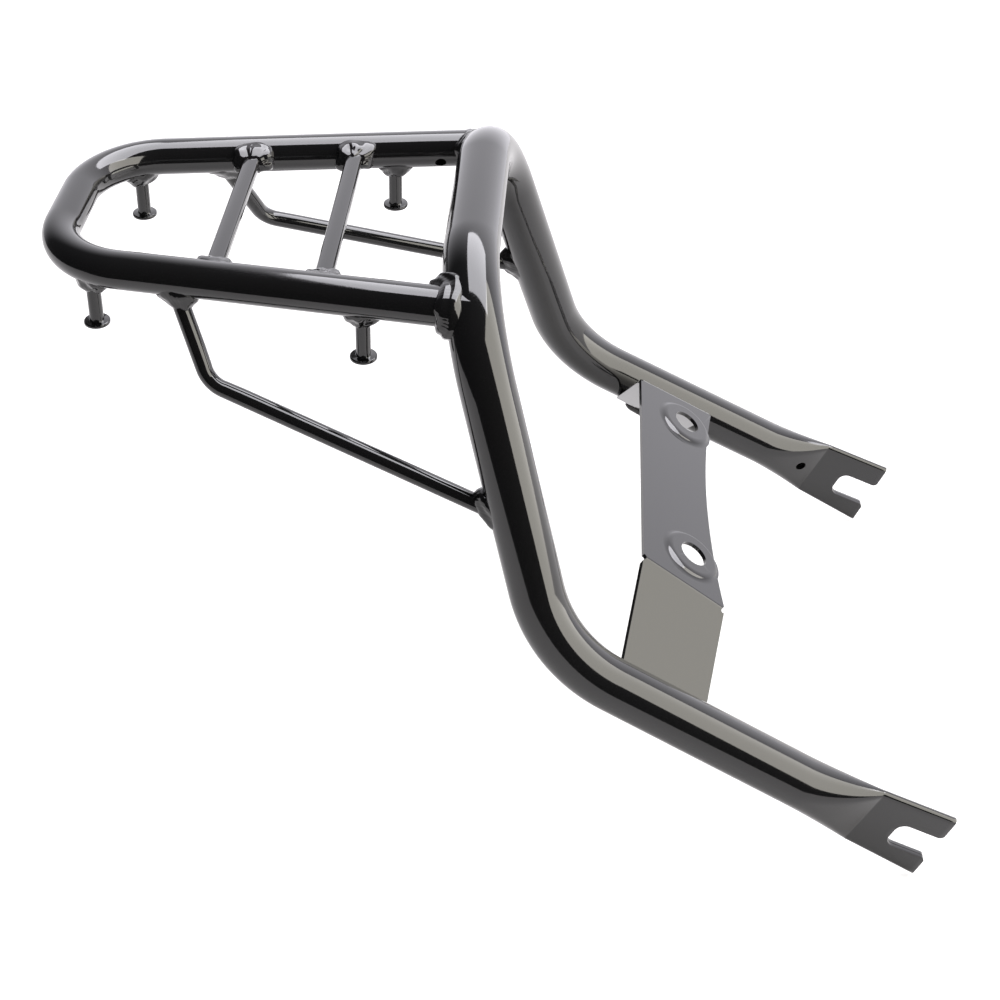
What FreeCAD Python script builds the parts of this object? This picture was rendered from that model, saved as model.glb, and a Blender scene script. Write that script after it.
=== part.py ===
"""Motorcycle luggage rack: a welded frame of two bent steel tubes, round bar and folded sheet.

Millimetres. X points forward to the forks, Y to the left of the motorcycle, Z up.
It is drawn from a datum on the centre plane where the rail tube's axes meet the hoop, and is
moved at the end so that the origin lies midway between the fork slots, on the axis of their bolts.
The left half is drawn and mirrored to the right.
"""
import math
import os

import FreeCAD
import Part
from FreeCAD import Vector

# hoop tube: the corners of its axis, as spreads between left and right and distances from the datum
HOOP_R = 12.7
HOOP_WALL = 2.0
SHOULDER_SPREAD = 166.0
SHOULDER_RISE = 10.0
SHOULDER_BEND = 58.0
KNEE_SPREAD = 257.0
KNEE_REACH = 45.0
KNEE_DROP = 151.0
KNEE_BEND = 75.0
FORK_SPREAD = 271.0
FORK_REACH = 187.5
FORK_DROP = 228.5

# flattened fork at each end of the hoop tube, in the leg's own side view (u along the leg, v up)
CRIMP_LENGTH = 30.0
CREASE_TOP = (5.0, 17.6)
CREASE_BOTTOM = (8.0, -18.0)
FORK_TOP = (42.0, 21.2)
FORK_BOTTOM = (47.5, -19.4)
FORK_THICK = 2 * HOOP_WALL
FORK_EDGE = 1.6
SLOT_WIDTH = 15.0
SLOT_BOTTOM = (23.0, -1.6)
SLOT_TILT = 5.5
SLOT_CORNER = 5.0
SLOT_MOUTH = 2.4
LEG_VENT_R = 2.8
LEG_VENT_U = -3.0

# rail tube, a U lying in the plane Z = 0
RAIL_R = 9.1
RAIL_WALL = 1.8
RAIL_LENGTH = 196.5
RAIL_FRONT_SPREAD = 155.0
RAIL_REAR_SPREAD = 104.0
RAIL_BEND = 41.0
RAIL_VENT_R = 2.8
RAIL_VENT_X = -22.5
RAIL_VENT_DROP = 25.0

# crossbars, flat bars between the side rails
BAR_REAR_INSET = 80.5
BAR_X = {"rear": BAR_REAR_INSET - RAIL_LENGTH, "front": -65.0}
BAR_WIDTH = 8.0
BAR_HEIGHT = 6.0
BAR_TOP_Z = 4.5
BAR_EDGE = 1.0

# pegs under the side rails, for straps
PEG_REAR_INSET = 22.0
PEG_X = {"rear": PEG_REAR_INSET - RAIL_LENGTH, "front": -46.0}
PEG_R = 3.4
PEG_HEAD_R = 6.3
PEG_HEAD_THICK = 1.8
PEG_HEAD_EDGE = 0.6
PEG_DROP = 32.0

# stays from the rails to the legs
STAY_R = 4.1
STAY_REAR_INSET = 61.0
STAY_TOP_X = STAY_REAR_INSET - RAIL_LENGTH
STAY_TOP_INSET = 1.2
STAY_ELBOW_X = STAY_TOP_X + 19.0
STAY_ELBOW_SPREAD = 157.0
STAY_ELBOW_DROP = 45.0
STAY_BEND = 16.0
STAY_FOOT_ALONG = 0.62

# bridge plate, a folded sheet between the legs (s down its slope, y across)
PLATE_THICK = 2.0
PLATE_TILT = 32.5
PLATE_REAR_X = 86.0
PLATE_DROP = 134.4
PLATE_DEPTH = 46.6
PLATE_HOLLOW = 6.8
FLAP_ANGLE = 43.0
FLAP_SINK = 0.25
FLAP_SKEW = 0.33
FLAP_PAST = 5.0
FOLD_OUTER_R = 2.8
NOTCH_R = 1.5
BOSS_SPACING = 110.0
BOSS_S = 27.8
BOSS_FOOT_R = 16.6
BOSS_TOP_R = 12.0
BOSS_RISE = 2.4
BOSS_HOLE_R = 7.25

# weld beads: how far each spreads over the carrying tube, climbs the attached piece, and bulges
COLLAR_WELD = {"spread": 5.2, "climb": 5.4, "bulge": 1.3, "lip": 1.6}
BAR_WELD = {"spread": 6.2, "climb": 6.6, "bulge": 0.9, "lip": 1.2}
PEG_WELD = {"spread": 5.6, "climb": 5.4, "bulge": -0.9, "lip": 0.8}
STAY_WELD = {"spread": 5.4, "climb": 6.0, "bulge": -0.7, "lip": 0.8}
WELD_ROOT = 3.4
PLATE_WELD_R = 3.4
PLATE_WELD_SHORT = 9.0

Y_AXIS = Vector(0, 1, 0)
SHOULDER = Vector(0, SHOULDER_SPREAD / 2, SHOULDER_RISE)
KNEE = Vector(KNEE_REACH, KNEE_SPREAD / 2, -KNEE_DROP)
LEG_END = Vector(FORK_REACH, FORK_SPREAD / 2, -FORK_DROP)
FAR = 2 * (RAIL_LENGTH + FORK_REACH)


def mirrored(shape):
    """The right-hand twin of a left-hand shape."""
    return shape.mirror(Vector(0, 0, 0), Y_AXIS)


def flipped(point):
    return Vector(point.x, -point.y, point.z)


def unit(vector):
    return Vector(vector).normalize()


def bent_path(points, radii):
    """A wire of straight runs joined by tangent arcs at the inner points."""
    edges = []
    start = points[0]
    for here, ahead, radius in zip(points[1:-1], points[2:], radii):
        back = unit(start - here)
        forth = unit(ahead - here)
        half = back.getAngle(forth) / 2
        reach = radius / math.tan(half)
        arc_from = here + back * reach
        arc_to = here + forth * reach
        middle = here + unit(back + forth) * (radius / math.sin(half) - radius)
        edges.append(Part.makeLine(start, arc_from))
        edges.append(Part.Arc(arc_from, middle, arc_to).toShape())
        start = arc_to
    edges.append(Part.makeLine(start, points[-1]))
    return Part.Wire(edges)


def swept(points, radii, radius):
    """A solid round bar along a bent path."""
    path = bent_path(points, radii)
    circle = Part.Wire(Part.makeCircle(radius, points[0], points[1] - points[0]))
    return path.makePipeShell([circle], True, True)


def rod(start, end, radius):
    return Part.makeCylinder(radius, (end - start).Length, start, end - start)


def clipped(shape, *others):
    """The largest piece of a shape once the others are taken away."""
    cut = shape
    for other in others:
        cut = cut.cut(other)
    return max(cut.Solids, key=lambda solid: solid.Volume)


def turned(start, axis, profile):
    """A solid of revolution from a chain of edges that starts and ends on the axis."""
    first = profile[0].Vertexes[0].Point
    last = profile[-1].Vertexes[-1].Point
    closing = Part.makeLine(last, first)
    face = Part.Face(Part.Wire(Part.__sortEdges__(profile + [closing])))
    solid = face.revolve(start, axis, 360)
    return solid if solid.Volume > 0 else solid.reversed()


def bead(start, towards, root_radius, tip_radius, length, bulge):
    """A ring of weld round an axis. A positive bulge swells its flank, a negative one hollows it."""
    axis = unit(towards - start)
    end = start + axis * length
    side = unit(axis.cross(Vector(0.3, 0.5, 0.7)))
    outer = start + side * root_radius
    inner = end + side * tip_radius
    out = unit(side * length + axis * (root_radius - tip_radius))
    middle = (outer + inner) / 2 + out * bulge
    profile = [
        Part.makeLine(start, outer),
        Part.Arc(outer, middle, inner).toShape(),
        Part.makeLine(inner, end),
    ]
    return turned(start, axis, profile)


# directions of the left leg and of its side view
LEG_DIR = unit(LEG_END - KNEE)
SIDE_U = unit(Vector(LEG_DIR.x, 0, LEG_DIR.z))
SIDE_V = Vector(-SIDE_U.z, 0, SIDE_U.x)
LEG_OUT = unit(Y_AXIS - LEG_DIR * Y_AXIS.dot(LEG_DIR))
LEG_UP = unit(LEG_OUT.cross(LEG_DIR) * -1)


def fork_point(u, v, y=LEG_END.y):
    """A point in the side view of the left fork."""
    point = LEG_END + SIDE_U * u + SIDE_V * v
    return Vector(point.x, y, point.z)


TILTED = math.radians(SLOT_TILT)
SLOT_ALONG = SIDE_U * math.cos(TILTED) + SIDE_V * math.sin(TILTED)
SLOT_ACROSS = SIDE_V * math.cos(TILTED) - SIDE_U * math.sin(TILTED)
BOLT_SEAT = fork_point(*SLOT_BOTTOM, 0) + SLOT_ALONG * SLOT_WIDTH / 2

CRIMP_POWER = 1.6
CRIMP_SHARES = (0, 0.15, 0.35, 0.6, 0.82, 1)
CRIMP_BORE_SHARES = (0, 0.15, 0.35, 0.6, 0.82, 0.94)
HALF_POINTS = 12


def oval_point(share, thin, tall):
    """A point a share of the way over the upper half of a flat oval, from one straight side to the other."""
    straight = tall - thin
    run = share * (2 * straight + math.pi * thin)
    if run < straight:
        return thin, run
    angle = min((run - straight) / thin, math.pi)
    if run > straight + math.pi * thin:
        return -thin, 2 * straight + math.pi * thin - run
    return thin * math.cos(angle), straight + thin * math.sin(angle)


def crimp_section(share, wall):
    """One section of the crimp, from the round tube (share 0) to the flat end (share 1)."""
    thin = HOOP_R - (HOOP_R - FORK_THICK / 2) * share ** CRIMP_POWER
    tall_end = (CREASE_TOP[1] - CREASE_BOTTOM[1]) / 2
    gain = (tall_end - FORK_THICK / 2) / (HOOP_R - FORK_THICK / 2)
    tall = thin + gain * (HOOP_R - thin)
    round_at = LEG_END - LEG_DIR * CRIMP_LENGTH
    flat_at = fork_point((CREASE_TOP[0] + CREASE_BOTTOM[0]) / 2, (CREASE_TOP[1] + CREASE_BOTTOM[1]) / 2)
    centre = round_at + (flat_at - round_at) * share
    flat_up = unit(fork_point(*CREASE_TOP) - fork_point(*CREASE_BOTTOM))
    out = unit(LEG_OUT + (Y_AXIS - LEG_OUT) * share)
    up = unit(LEG_UP + (flat_up - LEG_UP) * share)
    halves = []
    for sign in (1, -1):
        points = []
        for step in range(HALF_POINTS + 1):
            y, v = oval_point(step / HALF_POINTS, thin - wall, tall - wall)
            points.append(centre + (out * y + up * v) * sign)
        if share == 0:
            halves.append(Part.Arc(points[0], points[HALF_POINTS // 2], points[-1]).toShape())
        else:
            curve = Part.BSplineCurve()
            curve.interpolate(points, InitialTangent=up * sign, FinalTangent=up * -sign)
            halves.append(curve.toShape())
    return Part.Wire(halves)


def crimp(wall, shares):
    return Part.makeLoft([crimp_section(share, wall) for share in shares], True, False)


def slot_prism():
    """The open slot of the left fork, rounded at its bottom."""
    length = 2 * FORK_TOP[0]
    bottom = fork_point(*SLOT_BOTTOM, LEG_END.y - FORK_THICK)
    corners = [
        bottom - SLOT_ACROSS * SLOT_WIDTH / 2,
        bottom + SLOT_ALONG * length - SLOT_ACROSS * SLOT_WIDTH / 2,
        bottom + SLOT_ALONG * length + SLOT_ACROSS * SLOT_WIDTH / 2,
        bottom + SLOT_ACROSS * SLOT_WIDTH / 2,
    ]
    prism = Part.Face(Part.makePolygon(corners + corners[:1])).extrude(Y_AXIS * 2 * FORK_THICK)
    near = [edge for edge in prism.Edges if abs(edge.Length - 2 * FORK_THICK) < 1e-6]
    near = [edge for edge in near if (edge.CenterOfMass - bottom).dot(SLOT_ALONG) < 1]
    return prism.makeFillet(SLOT_CORNER, near)


def fork_flat():
    """The flat end of the left leg with its slot: folded edges above and below, cut at the tips."""
    corners = [fork_point(u, v, LEG_END.y - FORK_THICK / 2)
               for u, v in (CREASE_TOP, FORK_TOP, FORK_BOTTOM, CREASE_BOTTOM)]
    plate = Part.Face(Part.makePolygon(corners + corners[:1])).extrude(Y_AXIS * FORK_THICK)
    across = [edge for edge in plate.Edges if abs(edge.Length - FORK_THICK) > 1e-6]
    folded = [edge for edge in across
              if abs((edge.CenterOfMass - LEG_END).dot(SIDE_V)) > CREASE_TOP[1] / 2]
    plate = plate.makeFillet(FORK_EDGE, folded).cut(slot_prism())
    mouth = [edge for edge in plate.Edges
             if abs(edge.Length - FORK_THICK) < 1e-6
             and (edge.CenterOfMass - LEG_END).dot(SIDE_U) > FORK_TOP[0]
             and abs((edge.CenterOfMass - LEG_END).dot(SIDE_V)) < CREASE_TOP[1]]
    return plate.makeFillet(SLOT_MOUTH, mouth)


HOOP_POINTS = [
    flipped(LEG_END - LEG_DIR * CRIMP_LENGTH),
    flipped(KNEE),
    flipped(SHOULDER),
    SHOULDER,
    KNEE,
    LEG_END - LEG_DIR * CRIMP_LENGTH,
]
HOOP_BENDS = [KNEE_BEND, SHOULDER_BEND, SHOULDER_BEND, KNEE_BEND]
hoop_path = bent_path(HOOP_POINTS, HOOP_BENDS)
hoop_core = swept(HOOP_POINTS, HOOP_BENDS, HOOP_R)
hoop_bore = swept(HOOP_POINTS, HOOP_BENDS, HOOP_R - HOOP_WALL)
vent_at = fork_point(LEG_VENT_U, 0)
leg_vent = rod(vent_at, vent_at - Y_AXIS * 2 * HOOP_R, LEG_VENT_R)
hollow_crimp = crimp(0.0, CRIMP_SHARES).cut(crimp(HOOP_WALL, CRIMP_BORE_SHARES)).cut(leg_vent)
hoop_tube = hoop_core.cut(hoop_bore)
for piece in (hollow_crimp, fork_flat()):
    hoop_tube = hoop_tube.fuse(piece)
    hoop_tube = hoop_tube.fuse(mirrored(piece))

# rail tube, coped onto the shoulders of the hoop
RAIL_FRONT = Vector(0, RAIL_FRONT_SPREAD / 2, 0)
RAIL_REAR = Vector(-RAIL_LENGTH, RAIL_REAR_SPREAD / 2, 0)
RAIL_DIR = unit(RAIL_FRONT - RAIL_REAR)


def rail_y(x):
    """Half the distance between the straight side rails at x."""
    return RAIL_FRONT.y + (RAIL_FRONT.y - RAIL_REAR.y) / RAIL_LENGTH * x


RAIL_POINTS = [flipped(RAIL_FRONT), flipped(RAIL_REAR), RAIL_REAR, RAIL_FRONT]
rail_core = swept(RAIL_POINTS, [RAIL_BEND] * 2, RAIL_R)
rail_bore = swept(RAIL_POINTS, [RAIL_BEND] * 2, RAIL_R - RAIL_WALL)
rail_tube = rail_core.cut(rail_bore)
drop = math.radians(RAIL_VENT_DROP)
rail_vent_at = Vector(RAIL_VENT_X, rail_y(RAIL_VENT_X), 0)
vent_way = Vector(0, -math.cos(drop), -math.sin(drop))
rail_vent = rod(rail_vent_at, rail_vent_at + vent_way * 2 * RAIL_R, RAIL_VENT_R)
rail_tube = rail_tube.cut(rail_vent).cut(mirrored(rail_vent))
rail_tube = clipped(rail_tube, hoop_core)
rail_solid = clipped(rail_core, hoop_core)
rail_axis = bent_path(RAIL_POINTS, [RAIL_BEND] * 2)


def rail_axis_y(x):
    """Half the distance between the rail axes at x, in the bends as well."""
    probe = Part.makeLine(Vector(x, 0, 0), Vector(x, FORK_SPREAD, 0))
    return probe.distToShape(rail_axis)[1][0][0].y


def rail_meets_hoop():
    """The point of the left rail's axis that lies on the surface of the hoop."""
    clear, inside = -4 * HOOP_R, 0.0
    while inside - clear > 0.001:
        middle = (clear + inside) / 2
        if Part.Vertex(RAIL_FRONT + RAIL_DIR * middle).distToShape(hoop_path)[0] > HOOP_R:
            clear = middle
        else:
            inside = middle
    return RAIL_FRONT + RAIL_DIR * inside


def rail_weld():
    """A thick round bead about the left rail that follows the saddle of the hoop."""
    root = rail_meets_hoop() + RAIL_DIR * 2 * WELD_ROOT
    ring = bead(root, root - RAIL_DIR, RAIL_R + COLLAR_WELD["spread"], RAIL_R + COLLAR_WELD["lip"],
                2 * WELD_ROOT + COLLAR_WELD["climb"], COLLAR_WELD["bulge"])
    return ring.common(swept(HOOP_POINTS, HOOP_BENDS, HOOP_R + COLLAR_WELD["climb"]))


# crossbars, coped between the side rails
def crossbar(x):
    bar = Part.makeBox(BAR_WIDTH, RAIL_FRONT_SPREAD, BAR_HEIGHT,
                       Vector(x - BAR_WIDTH / 2, -RAIL_FRONT_SPREAD / 2, BAR_TOP_Z - BAR_HEIGHT))
    long_edges = [edge for edge in bar.Edges if edge.Length > RAIL_FRONT_SPREAD - 1]
    return bar.makeFillet(BAR_EDGE, long_edges)


def crossbar_weld(x):
    """A round bead about the left end of a crossbar."""
    root = Vector(x, rail_y(x) - RAIL_R + WELD_ROOT, BAR_TOP_Z - BAR_HEIGHT / 2)
    return bead(root, root - Y_AXIS, BAR_WIDTH / 2 + BAR_WELD["spread"], BAR_WIDTH / 2 + BAR_WELD["lip"],
                WELD_ROOT + BAR_WELD["climb"] - 1, BAR_WELD["bulge"])


# pegs, hanging under the side rails
def peg(x):
    y = rail_axis_y(x)
    foot = Vector(x, y, -PEG_DROP)
    post = rod(foot, Vector(x, y, 0), PEG_R)
    head = Part.makeCylinder(PEG_HEAD_R, PEG_HEAD_THICK, foot)
    rims = [edge for edge in head.Edges if edge.Length > PEG_HEAD_R * 4 and edge.Closed]
    return post.fuse(head.makeFillet(PEG_HEAD_EDGE, rims))


def peg_weld(x):
    root = Vector(x, rail_axis_y(x), -RAIL_R + WELD_ROOT)
    return bead(root, root - Vector(0, 0, 1), PEG_R + PEG_WELD["spread"], PEG_R + PEG_WELD["lip"],
                WELD_ROOT + PEG_WELD["climb"], PEG_WELD["bulge"])


# stays, from under the rails to the back of the legs
STAY_TOP = Vector(STAY_TOP_X, rail_y(STAY_TOP_X) - STAY_TOP_INSET, 0)
STAY_ELBOW = Vector(STAY_ELBOW_X, STAY_ELBOW_SPREAD / 2, -STAY_ELBOW_DROP)
STAY_FOOT = SHOULDER + (KNEE - SHOULDER) * STAY_FOOT_ALONG
stay_core = swept([STAY_TOP, STAY_ELBOW, STAY_FOOT], [STAY_BEND], STAY_R)


def stay_weld(inside, towards, radius, tube_way):
    """A flared bead where a stay meets a tube of the given radius, as long as the slant of the two asks."""
    way = unit(towards - inside)
    slant = way.getAngle(tube_way)
    surface = radius / math.sin(slant)
    slope = STAY_R / abs(math.tan(slant))
    root = inside + way * (surface - slope - WELD_ROOT)
    return bead(root, towards, STAY_R + STAY_WELD["spread"], STAY_R + STAY_WELD["lip"],
                WELD_ROOT + 2 * slope + STAY_WELD["climb"], STAY_WELD["bulge"])


# bridge plate, a sheet folded down at both ends to lie under the legs
TILT = math.radians(PLATE_TILT)
PLATE_S = Vector(math.cos(TILT), 0, -math.sin(TILT))
PLATE_N = Vector(math.sin(TILT), 0, math.cos(TILT))
PLATE_O = Vector(PLATE_REAR_X, 0, -PLATE_DROP)
LEAN = math.radians(FLAP_ANGLE)
FLAP_N = LEG_UP * math.cos(LEAN) + LEG_OUT * math.sin(LEAN)
FLAP_O = KNEE - FLAP_N * (HOOP_R - FLAP_SINK)


def below(origin, normal, drop=0.0):
    """A large block filling the space under a plane."""
    side = unit(normal.cross(Vector(1, 0.3, 0.2))) * FAR
    other = unit(normal.cross(side)) * FAR
    base = origin - normal * drop - side - other
    corners = [base, base + side * 2, base + side * 2 + other * 2, base + other * 2]
    return Part.Face(Part.makePolygon(corners + corners[:1])).extrude(normal * -FAR)


def on_plate(s, y, rise=0.0):
    return PLATE_O + PLATE_S * s + Y_AXIS * y + PLATE_N * rise


def fold_y(s):
    """Half the distance between the folds at s along the slope of the plate."""
    return (FLAP_O - on_plate(s, 0)).dot(FLAP_N) / FLAP_N.y


def plate_outline():
    """The outline of the sheet seen square to its middle part, with a lobe round each boss."""
    touch_y = KNEE.y + (LEG_END.y - KNEE.y) * 0.4 - FLAP_N.y * HOOP_R
    end_y = touch_y + FLAP_PAST * math.cos(LEAN)
    rear_y = fold_y(0)
    front_y = fold_y(PLATE_DEPTH)
    shift = FLAP_SKEW * (end_y - rear_y)
    front_shift = FLAP_SKEW * (end_y - front_y)
    depth = FORK_SPREAD / 3

    def at(s, y):
        return on_plate(s, y, -depth)

    rear = [at(shift, -end_y), at(0, -rear_y), at(0, rear_y), at(shift, end_y)]
    edges = [Part.makeLine(a, b) for a, b in zip(rear, rear[1:])]
    edges.append(Part.makeLine(rear[-1], at(PLATE_DEPTH + front_shift, end_y)))
    edges.append(Part.makeLine(at(PLATE_DEPTH + front_shift, end_y), at(PLATE_DEPTH, front_y)))
    edges.append(Part.Arc(at(PLATE_DEPTH, front_y), at(PLATE_DEPTH - PLATE_HOLLOW, 0),
                          at(PLATE_DEPTH, -front_y)).toShape())
    edges.append(Part.makeLine(at(PLATE_DEPTH, -front_y), at(PLATE_DEPTH + front_shift, -end_y)))
    edges.append(Part.makeLine(at(PLATE_DEPTH + front_shift, -end_y), rear[0]))
    outline = Part.Face(Part.Wire(edges)).extrude(PLATE_N * (depth + 2 * BOSS_RISE))
    for side in (1, -1):
        lobe_from = at(BOSS_S, side * BOSS_SPACING / 2)
        lobe = rod(lobe_from, lobe_from + PLATE_N * (depth + 2 * BOSS_RISE), BOSS_FOOT_R)
        outline = outline.fuse(lobe)
    return outline


def roof(drop):
    """The space under the folded surface, lowered by a thickness."""
    space = below(PLATE_O, PLATE_N, drop)
    flank = below(FLAP_O, FLAP_N, drop)
    return space.common(flank).common(mirrored(flank))


def on_fold(edge, drop):
    """True for an edge along the fold of the surface that lies a drop under the top one."""
    middle = edge.CenterOfMass
    middle.y = abs(middle.y)
    over_plate = (middle - PLATE_O).dot(PLATE_N) + drop
    over_flap = (middle - FLAP_O).dot(FLAP_N) + drop
    return edge.Length > PLATE_DEPTH / 2 and abs(over_plate) < 0.01 and abs(over_flap) < 0.01


def boss(centre, thickness):
    """The space under a raised boss. A thickness gives the space under the sheet that forms it."""
    width = BOSS_FOOT_R - BOSS_TOP_R
    curl = (width ** 2 + BOSS_RISE ** 2) / (4 * BOSS_RISE)
    sweep = math.asin(width / (2 * curl))
    out = PLATE_S

    def at(radius, rise):
        return centre + out * radius + PLATE_N * rise

    def foot(share):
        angle = sweep * share
        return at(BOSS_FOOT_R - (curl + thickness) * math.sin(angle), curl - (curl + thickness) * math.cos(angle))

    def top(share):
        angle = sweep * share
        return at(BOSS_TOP_R + (curl - thickness) * math.sin(angle),
                  BOSS_RISE - curl + (curl - thickness) * math.cos(angle))

    low = at(0, -thickness - 0.01)
    profile = [
        Part.makeLine(low, at(BOSS_FOOT_R, -thickness - 0.01)),
        Part.makeLine(at(BOSS_FOOT_R, -thickness - 0.01), foot(0)),
        Part.Arc(foot(0), foot(0.5), foot(1)).toShape(),
        Part.Arc(top(1), top(0.5), top(0)).toShape(),
        Part.makeLine(top(0), at(0, BOSS_RISE - thickness)),
    ]
    return turned(low, PLATE_N, profile)


sheet = roof(0).cut(roof(PLATE_THICK)).common(plate_outline())
sheet = sheet.removeSplitter()
sheet = sheet.makeFillet(FOLD_OUTER_R, [edge for edge in sheet.Edges if on_fold(edge, 0)])
sheet = sheet.makeFillet(FOLD_OUTER_R - PLATE_THICK, [edge for edge in sheet.Edges if on_fold(edge, PLATE_THICK)])
for s in (0.0, PLATE_DEPTH):
    notch = rod(on_plate(s, fold_y(s), -10 * PLATE_THICK), on_plate(s, fold_y(s), 10 * PLATE_THICK), NOTCH_R)
    sheet = sheet.cut(notch).cut(mirrored(notch))
for side in (1, -1):
    centre = on_plate(BOSS_S, side * BOSS_SPACING / 2, 0)
    hole = rod(centre - PLATE_N * 4 * BOSS_RISE, centre + PLATE_N * 4 * BOSS_RISE, BOSS_HOLE_R)
    sheet = sheet.fuse(boss(centre, 0)).cut(boss(centre, PLATE_THICK)).cut(hole)
bridge_plate = clipped(sheet, hoop_core).removeSplitter()


def plate_weld():
    """A bead along the left end of the sheet, in the nook under the leg."""
    along = unit(FLAP_N.cross(LEG_DIR))
    if along.y < 0:
        along = along * -1
    start_x = PLATE_REAR_X
    end_x = PLATE_REAR_X + PLATE_DEPTH * PLATE_S.x - PLATE_WELD_SHORT

    def nook(x):
        point = FLAP_O + LEG_DIR * ((x - FLAP_O.x) / LEG_DIR.x)
        return point + along * (FLAP_PAST + 1.0) - FLAP_N * 0.6

    bar = rod(nook(start_x), nook(end_x), PLATE_WELD_R)
    for x in (start_x, end_x):
        bar = bar.fuse(Part.makeSphere(PLATE_WELD_R, nook(x)))
    return bar.removeSplitter()


# assembly of the named pieces
pieces = {"hoop_tube": hoop_tube, "rail_tube": rail_tube, "bridge_plate": bridge_plate}
for row, x in BAR_X.items():
    bar = clipped(crossbar(x), rail_solid)
    pieces["crossbar_" + row] = bar
    pieces["weld_crossbar_" + row + "_left"] = clipped(crossbar_weld(x), rail_solid, bar)
for row, x in PEG_X.items():
    post = clipped(peg(x), rail_solid)
    pieces["peg_" + row + "_left"] = post
    pieces["weld_peg_" + row + "_left"] = clipped(peg_weld(x), rail_solid, post)
stay = clipped(stay_core, rail_solid, hoop_core)
pieces["stay_left"] = stay
pieces["weld_stay_top_left"] = clipped(stay_weld(STAY_TOP, STAY_ELBOW, RAIL_R, RAIL_DIR), rail_solid, stay)
pieces["weld_stay_foot_left"] = clipped(stay_weld(STAY_FOOT, STAY_ELBOW, HOOP_R, KNEE - SHOULDER), hoop_core, stay)
pieces["weld_rail_left"] = clipped(rail_weld(), hoop_core, rail_solid)
pieces["weld_plate_left"] = clipped(plate_weld(), hoop_core, bridge_plate)
for name in [name for name in pieces if name.endswith("_left")]:
    pieces[name[:-4] + "right"] = mirrored(pieces[name])

os.makedirs("parts", exist_ok=True)
for name, shape in pieces.items():
    if len(shape.Solids) != 1:
        raise ValueError("%s has %d solids" % (name, len(shape.Solids)))
    if not shape.isValid():
        raise ValueError("%s is not valid" % name)
    placed = shape.Solids[0].translated(-BOLT_SEAT)
    placed.exportStep("parts/%s.step" % name)
    box = placed.BoundBox
    print(name, [round(v, 1) for v in (box.XMin, box.XMax, box.YMin, box.YMax, box.ZMin, box.ZMax)],
          round(shape.Volume))
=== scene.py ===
"""The looks of the luggage rack: black paint, fine surfaces and weld beads, table, lamps and camera.

The surfaces are drawn from the rack's own sizes in millimetres and placed in the frame in metres.
"""
import math

import bmesh
import bpy
from mathutils import Matrix, Vector, noise

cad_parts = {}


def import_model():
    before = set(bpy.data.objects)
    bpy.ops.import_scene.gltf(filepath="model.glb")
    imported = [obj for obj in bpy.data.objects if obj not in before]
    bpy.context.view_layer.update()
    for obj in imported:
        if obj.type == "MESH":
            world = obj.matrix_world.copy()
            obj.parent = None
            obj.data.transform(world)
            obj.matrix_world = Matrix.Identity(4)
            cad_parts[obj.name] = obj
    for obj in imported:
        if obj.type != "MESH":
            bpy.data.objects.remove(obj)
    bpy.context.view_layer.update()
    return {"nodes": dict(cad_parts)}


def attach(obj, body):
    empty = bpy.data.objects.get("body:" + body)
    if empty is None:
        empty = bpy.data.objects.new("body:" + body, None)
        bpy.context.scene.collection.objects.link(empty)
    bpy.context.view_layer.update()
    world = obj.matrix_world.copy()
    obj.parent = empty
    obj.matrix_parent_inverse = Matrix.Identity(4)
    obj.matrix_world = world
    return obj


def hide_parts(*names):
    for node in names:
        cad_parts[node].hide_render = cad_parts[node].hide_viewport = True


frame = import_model()

# hoop tube: the corners of its axis, as spreads between left and right and distances from the datum
HOOP_R = 12.7
HOOP_WALL = 2.0
SHOULDER_SPREAD = 166.0
SHOULDER_RISE = 10.0
SHOULDER_BEND = 58.0
KNEE_SPREAD = 257.0
KNEE_REACH = 45.0
KNEE_DROP = 151.0
KNEE_BEND = 75.0
FORK_SPREAD = 271.0
FORK_REACH = 187.5
FORK_DROP = 228.5

# flattened fork at each end of the hoop tube, in the leg's own side view (u along the leg, v up)
CRIMP_LENGTH = 30.0
CRIMP_POWER = 1.6
CREASE_TOP = (5.0, 17.6)
CREASE_BOTTOM = (8.0, -18.0)
FORK_TOP = (42.0, 21.2)
FORK_BOTTOM = (47.5, -19.4)
FORK_THICK = 2 * HOOP_WALL
SLOT_WIDTH = 15.0
SLOT_BOTTOM = (23.0, -1.6)
SLOT_TILT = 5.5
SLOT_CORNER = 5.0
SLOT_MOUTH = 2.4
LEG_VENT_R = 2.8
LEG_VENT_U = -3.0

# rail tube, a U lying in the plane Z = 0
RAIL_R = 9.1
RAIL_WALL = 1.8
RAIL_LENGTH = 196.5
RAIL_FRONT_SPREAD = 155.0
RAIL_REAR_SPREAD = 104.0
RAIL_BEND = 41.0
RAIL_VENT_R = 2.8
RAIL_VENT_X = -22.5
RAIL_VENT_DROP = 25.0

# crossbars, flat bars between the side rails
BAR_REAR_INSET = 80.5
BAR_X = {"rear": BAR_REAR_INSET - RAIL_LENGTH, "front": -65.0}
BAR_WIDTH = 8.0
BAR_HEIGHT = 6.0
BAR_TOP_Z = 4.5
BAR_EDGE = 1.0

# pegs under the side rails, for straps
PEG_REAR_INSET = 22.0
PEG_X = {"rear": PEG_REAR_INSET - RAIL_LENGTH, "front": -46.0}
PEG_R = 3.4
PEG_HEAD_R = 6.3
PEG_HEAD_THICK = 1.8
PEG_HEAD_EDGE = 0.6
PEG_DROP = 32.0

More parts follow.
